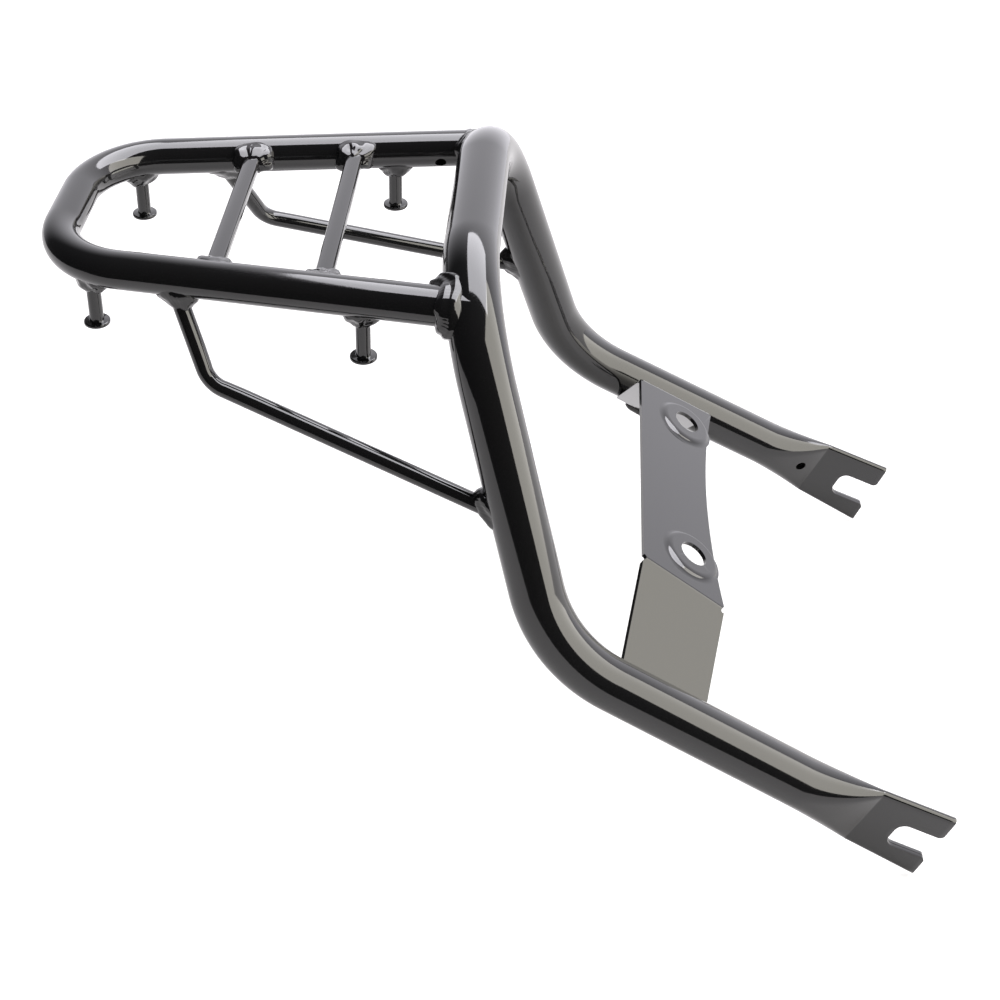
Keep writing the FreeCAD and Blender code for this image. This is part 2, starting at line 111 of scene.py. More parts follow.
# stays from the rails to the legs
STAY_R = 4.1
STAY_REAR_INSET = 61.0
STAY_TOP_X = STAY_REAR_INSET - RAIL_LENGTH
STAY_TOP_INSET = 1.2
STAY_ELBOW_X = STAY_TOP_X + 19.0
STAY_ELBOW_SPREAD = 157.0
STAY_ELBOW_DROP = 45.0
STAY_BEND = 16.0
STAY_FOOT_ALONG = 0.62

# bridge plate, a folded sheet between the legs (s down its slope, y across)
PLATE_THICK = 2.0
PLATE_TILT = 32.5
PLATE_REAR_X = 86.0
PLATE_DROP = 134.4
PLATE_DEPTH = 46.6
PLATE_HOLLOW = 6.8
FLAP_ANGLE = 43.0
FLAP_SINK = 0.25
FLAP_SKEW = 0.33
FLAP_PAST = 5.0
FOLD_OUTER_R = 2.8
NOTCH_R = 1.5
BOSS_SPACING = 110.0
BOSS_S = 27.8
BOSS_FOOT_R = 16.6
BOSS_TOP_R = 12.0
BOSS_RISE = 2.4
BOSS_HOLE_R = 7.25

# weld beads: how far each spreads over the carrying tube and climbs the attached piece
COLLAR_WELD = (5.2, 5.4)
BAR_WELD = (6.2, 6.6)
PEG_WELD = (5.6, 5.4)
STAY_WELD = (5.4, 6.0)
PLATE_WELD_R = 3.4
PLATE_WELD_SHORT = 9.0

# how finely things are drawn, and the least distance that counts
HOOP_SEGMENTS = 72
RAIL_SEGMENTS = 56
STAY_SEGMENTS = 36
PEG_SEGMENTS = 48
BOSS_SEGMENTS = 96
BOSS_HOLE_SEGMENTS = 64
NOTCH_SEGMENTS = 32
VENT_SEGMENTS = 40
CRIMP_STEPS = 26
TIP_STEPS = 14
ARC_STEPS = 8
PATH_SPACING = 1.2
TINY = 1e-6

# the shading turns sharp where two faces meet at more than these angles
SHARP = 35
PLATE_SHARP = 32
BEAD_SHARP = 60

X_AXIS = Vector((1, 0, 0))
Y_AXIS = Vector((0, 1, 0))
Z_AXIS = Vector((0, 0, 1))
SHOULDER = Vector((0, SHOULDER_SPREAD / 2, SHOULDER_RISE))
KNEE = Vector((KNEE_REACH, KNEE_SPREAD / 2, -KNEE_DROP))
LEG_END = Vector((FORK_REACH, FORK_SPREAD / 2, -FORK_DROP))


def black_paint():
    """Glossy black enamel with a faint orange-peel skin."""
    material = bpy.data.materials.new("gloss_black_paint")
    material.use_nodes = True
    nodes = material.node_tree.nodes
    links = material.node_tree.links
    shader = nodes["Principled BSDF"]
    shader.inputs["Base Color"].default_value = (0.006, 0.006, 0.0062, 1)
    shader.inputs["IOR"].default_value = 1.5
    shader.inputs["Coat Weight"].default_value = 1.0
    shader.inputs["Coat Roughness"].default_value = 0.05
    shader.inputs["Coat IOR"].default_value = 1.5
    coordinates = nodes.new("ShaderNodeTexCoord")
    cloud = nodes.new("ShaderNodeTexNoise")
    cloud.inputs["Scale"].default_value = 90
    cloud.inputs["Detail"].default_value = 3
    links.new(coordinates.outputs["Object"], cloud.inputs["Vector"])
    rough = nodes.new("ShaderNodeMapRange")
    rough.inputs["To Min"].default_value = 0.07
    rough.inputs["To Max"].default_value = 0.12
    links.new(cloud.outputs["Fac"], rough.inputs["Value"])
    links.new(rough.outputs["Result"], shader.inputs["Roughness"])
    peel = nodes.new("ShaderNodeTexNoise")
    peel.inputs["Scale"].default_value = 700
    peel.inputs["Detail"].default_value = 1
    links.new(coordinates.outputs["Object"], peel.inputs["Vector"])
    bump = nodes.new("ShaderNodeBump")
    bump.inputs["Strength"].default_value = 0.05
    bump.inputs["Distance"].default_value = 0.00005
    links.new(peel.outputs["Fac"], bump.inputs["Height"])
    links.new(bump.outputs["Normal"], shader.inputs["Normal"])
    links.new(bump.outputs["Normal"], shader.inputs["Coat Normal"])
    return material


PAINT = black_paint()
for item in frame["nodes"].values():
    for spot in item.material_slots:
        spot.material = PAINT


def unit(vector):
    """The direction of a vector."""
    return vector.normalized()


def flipped(point):
    """The same point on the other side of the rack."""
    return Vector((point.x, -point.y, point.z))


LEG_DIR = unit(LEG_END - KNEE)
SIDE_U = unit(Vector((LEG_DIR.x, 0, LEG_DIR.z)))
SIDE_V = Vector((-SIDE_U.z, 0, SIDE_U.x))
LEG_OUT = unit(Y_AXIS - LEG_DIR * Y_AXIS.dot(LEG_DIR))
LEG_UP = unit(LEG_DIR.cross(LEG_OUT))
TILTED = math.radians(SLOT_TILT)
SLOT_ALONG = SIDE_U * math.cos(TILTED) + SIDE_V * math.sin(TILTED)
SLOT_ACROSS = SIDE_V * math.cos(TILTED) - SIDE_U * math.sin(TILTED)


def fork_point(u, v, y=LEG_END.y):
    """A point of the leg's side view, at the middle of the left leg or at another y."""
    point = LEG_END + SIDE_U * u + SIDE_V * v
    return Vector((point.x, y, point.z))


BOLT_SEAT = fork_point(*SLOT_BOTTOM, 0) + SLOT_ALONG * SLOT_WIDTH / 2


def placed(point):
    """A point of the drawing, in millimetres from the datum, as a point of the frame in metres."""
    return (point - BOLT_SEAT) / 1000


def bent_path(points, radii, spacing=PATH_SPACING):
    """Points along straight runs joined by tangent arcs, with a point close to each end of a run."""
    marks = [points[0]]
    for back, here, ahead, radius in zip(points, points[1:], points[2:], radii):
        to_back = unit(back - here)
        to_ahead = unit(ahead - here)
        half = to_back.angle(to_ahead) / 2
        start = here + to_back * (radius / math.tan(half))
        centre = here + unit(to_back + to_ahead) * (radius / math.sin(half))
        spoke = start - centre
        sweep = math.pi - 2 * half
        count = max(10, round(sweep * radius / spacing))
        for step in range(count + 1):
            angle = sweep * step / count
            marks.append(centre + spoke * math.cos(angle) - to_back * radius * math.sin(angle))
    marks.append(points[-1])
    path = [marks[0]]
    for first, last in zip(marks, marks[1:]):
        run = (last - first).length
        if run > 3 * spacing:
            cuts = [spacing]
            count = max(1, round(run / 10))
            cuts += [run * step / count for step in range(1, count)]
            cuts += [run - spacing]
            path += [first + (last - first) * cut / run for cut in cuts]
        path.append(last)
    return path


def carried(path, up, last_up=None):
    """Stations (point, out, up) along a path, whose cross directions turn no more than they must."""
    stations = []
    for index, point in enumerate(path):
        ways = []
        if index > 0:
            ways.append(unit(point - path[index - 1]))
        if index < len(path) - 1:
            ways.append(unit(path[index + 1] - point))
        way = unit(sum(ways, Vector()))
        up = unit(up - way * up.dot(way))
        stations.append([point, up.cross(way), up])
    if last_up is not None:
        point, out, up = stations[-1]
        twist = math.atan2(last_up.dot(out), last_up.dot(up))
        for station in stations:
            out, up = station[1], station[2]
            station[2] = up * math.cos(twist) + out * math.sin(twist)
            station[1] = out * math.cos(twist) - up * math.sin(twist)
    return stations


def oval(segments, thin, tall):
    """Points (out, up) round a flat oval: two straight sides and two half circles."""
    straight = tall - thin
    length = 2 * straight + math.pi * thin
    points = []
    for step in range(segments // 2):
        run = length * step / (segments // 2)
        if run < straight:
            points.append((thin, run))
        elif run > straight + math.pi * thin:
            points.append((-thin, length - run))
        else:
            angle = (run - straight) / thin
            points.append((thin * math.cos(angle), straight + thin * math.sin(angle)))
    return points + [(-a, -b) for a, b in points]


def ring_at(station, shape):
    """The points of a section carried to a station."""
    point, out, up = station
    return [point + out * a + up * b for a, b in shape]


def strip(size, row, after):
    """Faces between two rings of equal length, given by their numbers."""
    faces = []
    for col in range(size):
        nxt = (col + 1) % size
        faces.append([row * size + col, row * size + nxt, after * size + nxt, after * size + col])
    return faces


def skin(rings, flip=False):
    """Vertices and faces through a run of rings of equal length, closed at both ends."""
    size = len(rings[0])
    last = len(rings) - 1
    verts = [vert for ring in rings for vert in ring]
    faces = []
    for row in range(last):
        faces += strip(size, row, row + 1)
    faces.append(list(range(size))[::-1])
    faces.append(list(range(last * size, (last + 1) * size)))
    if flip:
        faces = [face[::-1] for face in faces]
    return verts, faces


def torus(rings):
    """Vertices and faces through rings of equal length, with the last one joined to the first."""
    size = len(rings[0])
    faces = []
    for row in range(len(rings)):
        faces += strip(size, row, (row + 1) % len(rings))
    return [vert for ring in rings for vert in ring], faces


def joined(*parts):
    """Several shapes as one list of vertices and one of faces."""
    verts = []
    faces = []
    for some_verts, some_faces in parts:
        shift = len(verts)
        verts += some_verts
        faces += [[shift + index for index in face] for face in some_faces]
    return verts, faces


def mirrored(part):
    """The same shape on the other side of the rack."""
    verts, faces = part
    return [flipped(vert) for vert in verts], [face[::-1] for face in faces]


def sided(side, part):
    """A shape drawn on the left, or its twin on the right."""
    return part if side == "left" else mirrored(part)


def both_halves(rings):
    """Rings from the centre plane outwards, with their mirrored twins before them."""
    return [[flipped(vert) for vert in ring] for ring in reversed(rings[1:])] + rings


def make(name, part, *nodes, sharp=SHARP):
    """A painted object from a shape. Where nodes are named, it is a piece that stands for them."""
    verts, faces = part
    mesh = bpy.data.meshes.new(name)
    mesh.from_pydata([placed(vert) for vert in verts], [], faces)
    mesh.validate()
    item = bpy.data.objects.new(name, mesh)
    bpy.context.collection.objects.link(item)
    work = bmesh.new()
    work.from_mesh(mesh)
    bmesh.ops.recalc_face_normals(work, faces=work.faces)
    work.to_mesh(mesh)
    work.free()
    finish_piece(item, nodes, sharp)
    return item


def finish_piece(item, nodes, sharp=SHARP):
    """Paints an object and shades it smooth. Where nodes are named, it rides on the body in their place."""
    item.data.materials.clear()
    item.data.materials.append(PAINT)
    item.data.shade_smooth()
    item.data.set_sharp_from_angle(angle=math.radians(sharp))
    if nodes:
        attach(item, "root")
        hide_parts(*nodes)


def bake(item):
    """Applies the modifiers of an object."""
    graph = bpy.context.evaluated_depsgraph_get()
    mesh = bpy.data.meshes.new_from_object(item.evaluated_get(graph))
    item.modifiers.clear()
    old = item.data
    item.data = mesh
    bpy.data.meshes.remove(old)


def change_by(item, operation, tool):
    """Unites an object with a tool, cuts it or keeps what both share. The tool is used up."""
    step = item.modifiers.new("step", "BOOLEAN")
    step.operation = operation
    step.solver = "EXACT"
    step.object = tool
    bake(item)
    bpy.data.objects.remove(tool)


def change(item, operation, part):
    """Changes an object by a shape."""
    change_by(item, operation, make("tool", part))


def cut(item, *parts):
    """Takes shapes out of an object, one after the other."""
    for part in parts:
        change(item, "DIFFERENCE", part)


def eased(item, width, angle):
    """Rounds the edges of an object that are sharper than an angle."""
    step = item.modifiers.new("ease", "BEVEL")
    step.width = width / 1000
    step.segments = 2
    step.limit_method = "ANGLE"
    step.angle_limit = math.radians(angle)
    step.use_clamp_overlap = True
    bake(item)


def settle_normals(item):
    """Lets the large flat faces decide how the light turns over a rounded edge."""
    step = item.modifiers.new("weighted", "WEIGHTED_NORMAL")
    step.keep_sharp = True
    step.weight = 80
    bake(item)


def prism(outline, low_y, high_y):
    """A block between two heights of Y from points of the side view."""
    low = [Vector((point.x, low_y, point.z)) for point in outline]
    high = [Vector((point.x, high_y, point.z)) for point in outline]
    return skin([low, high])


def rod(start, end, radius, segments=VENT_SEGMENTS):
    """A round cutter between two points."""
    way = unit(end - start)
    no_axis = Vector((0.3, 0.5, 0.7))
    side = unit(way.cross(no_axis))
    other = way.cross(side)
    rings = []
    for point in (start, end):
        ring = []
        for step in range(segments):
            angle = 2 * math.pi * step / segments
            ring.append(point + (side * math.cos(angle) + other * math.sin(angle)) * radius)
        rings.append(ring)
    return skin(rings)


# hoop, crimps and forks
CRIMP_CORNER = 0.015
TIP_CORNER = 0.012
LEAST_BORE = 0.6
SLOT_OVERCUT = 12
CUT_DEPTH = 5
SEAM_DEPTH = 0.55
SEAM_HALF = 0.17
FORK_EASE = 0.28
FORK_EASE_ANGLE = 50


def crimp_stations():
    """Stations of the left crimp and its flat end: (station, half thickness, half height)."""
    rows = []
    tall_end = (CREASE_TOP[1] - CREASE_BOTTOM[1]) / 2
    thin_end = FORK_THICK / 2
    gain = (tall_end - thin_end) / (HOOP_R - thin_end)
    round_at = LEG_END - LEG_DIR * CRIMP_LENGTH
    crease_top = fork_point(*CREASE_TOP)
    crease_bottom = fork_point(*CREASE_BOTTOM)
    flat_up = unit(crease_top - crease_bottom)
    flat_at = (crease_top + crease_bottom) / 2
    shares = [step / CRIMP_STEPS for step in range(1, CRIMP_STEPS)] + [1 - CRIMP_CORNER, 1.0]
    for share in shares:
        thin = HOOP_R - (HOOP_R - thin_end) * share ** CRIMP_POWER
        tall = thin + gain * (HOOP_R - thin)
        centre = round_at + (flat_at - round_at) * share
        out = unit(LEG_OUT + (Y_AXIS - LEG_OUT) * share)
        up = unit(LEG_UP + (flat_up - LEG_UP) * share)
        rows.append(((centre, out, up), thin, tall))
    tip_top = fork_point(*FORK_TOP)
    tip_bottom = fork_point(*FORK_BOTTOM)
    for share in [TIP_CORNER] + [step / TIP_STEPS for step in range(1, TIP_STEPS + 1)]:
        top = crease_top + (tip_top - crease_top) * share
        bottom = crease_bottom + (tip_bottom - crease_bottom) * share
        rows.append((((top + bottom) / 2, Y_AXIS, unit(top - bottom)), thin_end, (top - bottom).length / 2))
    return rows


def slot_outline(grow=0.0):
    """The side view of the left fork's slot, grown by a distance, with rounded mouth corners."""
    half = SLOT_WIDTH / 2 + grow
    bottom = fork_point(*SLOT_BOTTOM) - SLOT_ALONG * grow
    tip = unit(fork_point(*FORK_TOP) - fork_point(*FORK_BOTTOM))
    ahead = unit(Vector((tip.z, 0, -tip.x)))
    if ahead.dot(SLOT_ALONG) < 0:
        ahead = -ahead
    points = []
    for side in (1, -1):
        run = []
        corner = bottom + SLOT_ACROSS * (half * side)
        inner = corner + SLOT_ALONG * SLOT_CORNER - SLOT_ACROSS * (SLOT_CORNER * side)
        for step in range(ARC_STEPS + 1):
            angle = math.pi / 2 * step / ARC_STEPS
            run.append(inner - SLOT_ALONG * SLOT_CORNER * math.cos(angle)
                       + SLOT_ACROSS * (SLOT_CORNER * side * math.sin(angle)))
        reach = (fork_point(*FORK_TOP) - corner).dot(ahead) / SLOT_ALONG.dot(ahead)
        mouth = corner + SLOT_ALONG * reach
        down = -SLOT_ALONG
        along_tip = tip * side
        opening = down.angle(along_tip) / 2
        middle = mouth + unit(down + along_tip) * (SLOT_MOUTH / math.sin(opening))
        touch = mouth + down * (SLOT_MOUTH / math.tan(opening))
        leave = mouth + along_tip * (SLOT_MOUTH / math.tan(opening))
        first = touch - middle
        last = leave - middle
        for step in range(ARC_STEPS + 1):
            share = step / ARC_STEPS
            spoke = first * (1 - share) + last * share
            run.append(middle + unit(spoke) * SLOT_MOUTH)
        run.append(leave + ahead * SLOT_OVERCUT)
        points.append(run)
    return list(reversed(points[1])) + points[0]


def tip_slab(depth):
    """The side view of a strip along the tip of the left fork."""
    top = fork_point(*FORK_TOP)
    bottom = fork_point(*FORK_BOTTOM)
    past = unit(top - bottom) * CUT_DEPTH
    back = SIDE_U * -depth
    front = SIDE_U * CUT_DEPTH
    return [bottom - past + back, top + past + back, top + past + front, bottom - past + front]


def hoop():
    """The hoop tube: bends, crimps and flat forks, with its bore, slots, vent holes and seam grooves."""
    half = [Vector((0, 0, SHOULDER.z)), SHOULDER, KNEE, LEG_END - LEG_DIR * CRIMP_LENGTH]
    stations = carried(bent_path(half, [SHOULDER_BEND, KNEE_BEND]), Z_AXIS, LEG_UP)
    crimped = crimp_stations()
    outside = oval(HOOP_SEGMENTS, HOOP_R, HOOP_R + TINY)
    rings = [ring_at(station, outside) for station in stations]
    rings += [ring_at(station, oval(HOOP_SEGMENTS, thin, tall)) for station, thin, tall in crimped]
    inside = oval(HOOP_SEGMENTS, HOOP_R - HOOP_WALL, HOOP_R - HOOP_WALL + TINY)
    bore = [ring_at(station, inside) for station in stations]
    for station, thin, tall in crimped:
        if thin > HOOP_WALL + LEAST_BORE:
            bore.append(ring_at(station, oval(HOOP_SEGMENTS, thin - HOOP_WALL, tall - HOOP_WALL)))
    item = make("hoop", joined(skin(both_halves(rings)), skin(both_halves(bore), flip=True)))
    middle = LEG_END.y
    slot = prism(slot_outline(), middle - CUT_DEPTH, middle + CUT_DEPTH)
    vent_at = fork_point(LEG_VENT_U, 0)
    vent = rod(vent_at, vent_at - Y_AXIS * 2 * HOOP_R, LEG_VENT_R)
    cut(item, slot, mirrored(slot), vent, mirrored(vent))
    eased(item, FORK_EASE, FORK_EASE_ANGLE)
    for outline in (slot_outline(SEAM_DEPTH), tip_slab(SEAM_DEPTH)):
        seam = prism(outline, middle - SEAM_HALF, middle + SEAM_HALF)
        cut(item, seam, mirrored(seam))
    finish_piece(item, ["hoop_tube"])


# where straight lines meet tubes
MEET_TRIES = 40
MEET_REACH = 60
MEET_CLOSE = 0.01
MEET_STEP = 0.15
PART_REACH = 42
COPE_DEPTH = 1.0


def nearest(path, point):
    """The nearest point on a run of short straight pieces."""
    best = None
    for first, last in zip(path, path[1:]):
        along = last - first
        share = max(0.0, min(1.0, (point - first).dot(along) / along.length_squared))
        spot = first + along * share
        gap = (point - spot).length_squared
        if best is None or gap < best[0]:
            best = (gap, spot)
    return best[1]


def near_part(path, point, reach=PART_REACH):
    """The stretch of a path that lies about a point."""
    inside = [index for index, spot in enumerate(path) if (spot - point).length < reach]
    return path[max(0, min(inside) - 1):max(inside) + 2]


def meet(path, radius, point, way):
    """Where a line from a point meets a tube that follows a path, or passes it closest."""
    run = 0.0
    best = None
    for _ in range(MEET_TRIES):
        spot = point + way * run
        gap = (spot - nearest(path, spot)).length - radius
        if best is None or gap < best[0]:
            best = (gap, run)
        if abs(gap) < MEET_CLOSE or run > MEET_REACH:
            break
        run += gap if gap < 0 else max(gap, MEET_STEP)
    return point + way * best[1] if best[0] > MEET_CLOSE else point + way * run


def cross_ways(way, up):
    """Two directions square to a way, the second close to up."""
    other = unit(up - way * up.dot(way))
    return other.cross(way), other


def round_shape(radius, segments):
    """Points round a circular section."""
    angles = [2 * math.pi * step / segments for step in range(segments)]
    return [(radius * math.cos(angle), radius * math.sin(angle)) for angle in angles]


def bar_shape(width, height, bevel):
    """Points round a bar of rectangular section with bevelled edges."""
    points = []
    for corner, (side_a, side_b) in enumerate(((1, 1), (-1, 1), (-1, -1), (1, -1))):
        for step in (0, 1):
            angle = math.pi / 2 * (corner + step)
            points.append((side_a * (width / 2 - bevel) + bevel * math.cos(angle),
                           side_b * (height / 2 - bevel) + bevel * math.sin(angle)))
    return points


def coped_end(shape, station, way, carrier, radius):
    """The ring where a piece of the given section ends, just inside the tube it is welded to."""
    point, out, up = station
    return [meet(carrier, radius - COPE_DEPTH, point + out * a + up * b, way) for a, b in shape]


# the look of a weld bead: how it wanders, sinks in, ripples and swells
WELD_STEPS = 14
WELD_AROUND = 112
WELD_WANDER = 0.28
WANDER_PACE = 1.5
WELD_SINK = 0.6
WELD_ROOT_SINK = 1.1
TOE_SINK = 0.05
LOOSE_GAP = 4
HUMP_POWER = 0.7
HUMP_SINK = 0.1
LUMP_PACE = 0.22
LUMP_GAIN = 1.6
RIPPLE_PITCH = 1.6
RIPPLE_RISE = 0.10
RIPPLE_MEAN = 0.6
RIPPLE_SLANT = 1.1
SEED_STEPS = (7.3, 3.1)


def ripples_around(reach, spread):
    """How many ripples go round a bead."""
    return round(2 * math.pi * (reach + spread / 2) / RIPPLE_PITCH / 2) * 2


def weld(carrier, radius, root, way, up, section, size, seed, power, lump, lobes=0.0,
         around=WELD_AROUND, cap=None, hump_rise=0.0):
    """A closed ring of weld between an attached piece and the tube that carries it.

    section gives the half width of the piece at each turn round its axis. Where the piece passes the
    tube without touching it, the bead humps over the gap instead, and cap limits how far it follows.
    """
    spread, climb = size
    out, other = cross_ways(way, up)
    rings = []
    for number in range(around):
        turn = 2 * math.pi * number / around
        ray = out * math.cos(turn) + other * math.sin(turn)
        reach = section(turn)
        start = root + ray * reach
        seam = meet(carrier, radius, start, way)
        if cap is not None and (seam - start).length > cap:
            seam = start + way * cap
        normal = unit(seam - nearest(carrier, seam))
        slide = unit(ray - normal * ray.dot(normal) + ray * 1e-4)
        spin = Vector((math.cos(turn) * WANDER_PACE, math.sin(turn) * WANDER_PACE, seed * SEED_STEPS[0]))
        spread_here = spread * (1 + WELD_WANDER * noise.noise(spin))
        climb_here = climb * (1 + WELD_WANDER * noise.noise(spin + Vector((11, 5, 3))))
        foot = seam + slide * spread_here
        axis_spot = nearest(carrier, foot)
        foot_normal = unit(foot - axis_spot)
        foot = axis_spot + foot_normal * (radius - TOE_SINK)
        rear = seam - way * climb_here
        front = seam + way * spread_here
        top = rear - ray * TOE_SINK
        bulge = unit(normal + ray)
        open_gap = (seam - nearest(carrier, seam)).length - radius
        loose = max(0.0, min(1.0, open_gap / LOOSE_GAP))
        ring = [(foot - foot_normal * WELD_SINK) * (1 - loose) + (front - ray * WELD_SINK) * loose]
        for step in range(WELD_STEPS + 1):
            share = step / WELD_STEPS
            angle = share * math.pi / 2
            spot = seam + (foot - seam) * math.cos(angle) ** power + (top - seam) * math.sin(angle) ** power
            if loose > 0:
                arch = hump_rise * math.sin(math.pi * share) ** HUMP_POWER - HUMP_SINK
                hump = front + (rear - front) * share + ray * arch
                spot += (hump - spot) * loose
            rough = noise.noise(spot * LUMP_PACE + Vector((seed * SEED_STEPS[1], 0, 0)))
            phase = turn * ripples_around(reach, spread) / 2 + RIPPLE_SLANT * (share - 0.5)
            wave = abs(math.sin(phase)) - RIPPLE_MEAN
            swell = lobes * (math.sin(2 * math.pi * share) ** 2 - 0.5)
            rise = lump * LUMP_GAIN * rough + RIPPLE_RISE * wave + swell
            ring.append(spot + bulge * (rise * math.sin(2 * angle)))
        ring.append(top - ray * WELD_SINK)
        ring.append(seam - normal * WELD_ROOT_SINK - ray * WELD_ROOT_SINK)
        rings.append(ring)
    return torus(rings)


HOOP_HALF = bent_path([Vector((0, 0, SHOULDER.z)), SHOULDER, KNEE, LEG_END], [SHOULDER_BEND, KNEE_BEND])
RAIL_FRONT = Vector((0, RAIL_FRONT_SPREAD / 2, 0))
RAIL_REAR = Vector((-RAIL_LENGTH, RAIL_REAR_SPREAD / 2, 0))
RAIL_DIR = unit(RAIL_FRONT - RAIL_REAR)
RAIL_HALF = bent_path([Vector((-RAIL_LENGTH, 0, 0)), RAIL_REAR, RAIL_FRONT], [RAIL_BEND])


def rail_y(x):
    """Half the distance between the straight side rails at x."""
    return RAIL_FRONT.y + (RAIL_FRONT.y - RAIL_REAR.y) / RAIL_LENGTH * x


def rail_axis_y(x):
    """Half the distance between the rail axes at x, in the bends as well."""
    for first, last in zip(RAIL_HALF, RAIL_HALF[1:]):
        if first.x <= x < last.x:
            return first.y + (last.y - first.y) * (x - first.x) / (last.x - first.x)
    return rail_y(x)


# beads of the crossbars, pegs and stays: side, seed of the noise and, for crossbars, share of the full size
BAR_BEADS = (("left", 3, 1.0), ("right", 17, 0.78))
PEG_BEADS = (("left", 5), ("right", 23))
STAY_BEADS = (("left", 31), ("right", 47))
STAY_FOOT_SEED = 4

# where plain bars stop short of a tube, and how far back of it the rays of a bead start
RAIL_STOP = 30
BAR_STOP = 3
PEG_STOP = 4
STAY_STOPS = (16, 26)
ROOT_BACK = 12
STAY_ROOTS = (20, 34)
BAR_STEPS = 8
BAR_SQUARENESS = 8
AXIS_HOLE = 0.3


def rail():
    """The rail tube, coped onto the hoop, with its bore and a vent hole near each front end."""
    shape = round_shape(RAIL_R, RAIL_SEGMENTS)
    bore_shape = round_shape(RAIL_R - RAIL_WALL, RAIL_SEGMENTS)
    front = RAIL_FRONT - RAIL_DIR * RAIL_STOP
    stations = carried(bent_path([Vector((-RAIL_LENGTH, 0, 0)), RAIL_REAR, front], [RAIL_BEND]), Z_AXIS)
    carrier = near_part(HOOP_HALF, RAIL_FRONT)
    rings = [ring_at(station, shape) for station in stations]
    rings.append(coped_end(shape, stations[-1], RAIL_DIR, carrier, HOOP_R))
    bore = [ring_at(station, bore_shape) for station in stations]
    item = make("rail", joined(skin(both_halves(rings)), skin(both_halves(bore), flip=True)))
    drop = math.radians(RAIL_VENT_DROP)
    start = Vector((RAIL_VENT_X, rail_y(RAIL_VENT_X), 0))
    hole = rod(start, start + Vector((0, -math.cos(drop), -math.sin(drop))) * 2 * RAIL_R, RAIL_VENT_R)
    cut(item, hole, mirrored(hole))
    finish_piece(item, ["rail_tube"])


def bar_section(turn):
    """Half the width of a crossbar at a turn round its axis."""
    a = abs(math.cos(turn)) / (BAR_WIDTH / 2)
    b = abs(math.sin(turn)) / (BAR_HEIGHT / 2)
    return 1 / (a ** BAR_SQUARENESS + b ** BAR_SQUARENESS) ** (1 / BAR_SQUARENESS)


def crossbar(row):
    """One crossbar and its two beads."""
    x = BAR_X[row]
    z = BAR_TOP_Z - BAR_HEIGHT / 2
    shape = bar_shape(BAR_WIDTH, BAR_HEIGHT, BAR_EDGE)
    centre = Vector((x, 0, z))
    end = Vector((x, rail_y(x) - RAIL_R - BAR_STOP, z))
    rings = []
    for step in range(BAR_STEPS + 1):
        spot = centre + (end - centre) * step / BAR_STEPS
        rings.append(ring_at((spot, X_AXIS, Z_AXIS), shape))
    carrier = near_part(RAIL_HALF, Vector((x, rail_y(x), 0)))
    rings.append(coped_end(shape, (end, X_AXIS, Z_AXIS), Y_AXIS, carrier, RAIL_R))
    make("crossbar_" + row, skin(both_halves(rings)), "crossbar_" + row, sharp=BEAD_SHARP)
    root = end - Y_AXIS * ROOT_BACK
    for side, seed, share in BAR_BEADS:
        size = (BAR_WELD[0] * share, BAR_WELD[1] * share)
        ring = weld(carrier, RAIL_R, root, Y_AXIS, Z_AXIS, bar_section, size, seed + x, power=0.9, lump=0.6)
        piece = "weld_crossbar_%s_%s" % (row, side)
        make(piece, sided(side, ring), piece, sharp=BEAD_SHARP)


def revolved(profile, centre, out, other, up, segments):
    """Rings from (radius, height) pairs turned about an axis."""
    rings = []
    for radius, height in profile:
        ring = [centre + out * a + other * b + up * height for a, b in round_shape(radius, segments)]
        rings.append(ring)
    return rings


def peg_profile():
    """(radius, height) pairs from the underside of the head up to the end of the post."""
    edge = PEG_HEAD_EDGE
    profile = [(AXIS_HOLE, 0), (PEG_HEAD_R / 2, 0)]
    for corner, height in enumerate((edge, PEG_HEAD_THICK - edge)):
        for step in range(5):
            angle = math.pi / 2 * (step / 4 + corner - 1)
            profile.append((PEG_HEAD_R - edge + edge * math.cos(angle), height + edge * math.sin(angle)))
    for outward, above in ((0.5, 0), (0.12, 0.12), (0, 0.5), (0, 3)):
        profile.append((PEG_R + outward, PEG_HEAD_THICK + above))
    profile.append((PEG_R, PEG_DROP - RAIL_R - PEG_STOP))
    return profile


def peg(row):
    """A pair of pegs and their beads."""
    x = PEG_X[row]
    y = rail_axis_y(x)
    rings = revolved(peg_profile(), Vector((x, y, -PEG_DROP)), X_AXIS, Y_AXIS, Z_AXIS, PEG_SEGMENTS)
    carrier = near_part(RAIL_HALF, Vector((x, y, 0)))
    rings.append([meet(carrier, RAIL_R - COPE_DEPTH, spot, Z_AXIS) for spot in rings[-1]])
    root = Vector((x, y, -RAIL_R - ROOT_BACK))
    for side, seed in PEG_BEADS:
        name = "peg_%s_%s" % (row, side)
        make(name, sided(side, skin(rings)), name)
        ring = weld(carrier, RAIL_R, root, Z_AXIS, X_AXIS, lambda turn: PEG_R, PEG_WELD, seed + x / 7,
                    power=1.5, lump=0.75)
        make("weld_" + name, sided(side, ring), "weld_" + name, sharp=BEAD_SHARP)


STAY_TOP = Vector((STAY_TOP_X, rail_y(STAY_TOP_X) - STAY_TOP_INSET, 0))
STAY_ELBOW = Vector((STAY_ELBOW_X, STAY_ELBOW_SPREAD / 2, -STAY_ELBOW_DROP))
STAY_FOOT = SHOULDER + (KNEE - SHOULDER) * STAY_FOOT_ALONG
STAY_SPACING = 0.7
STAY_PINCH = 0.55
STAY_PINCH_REACH = 9.0


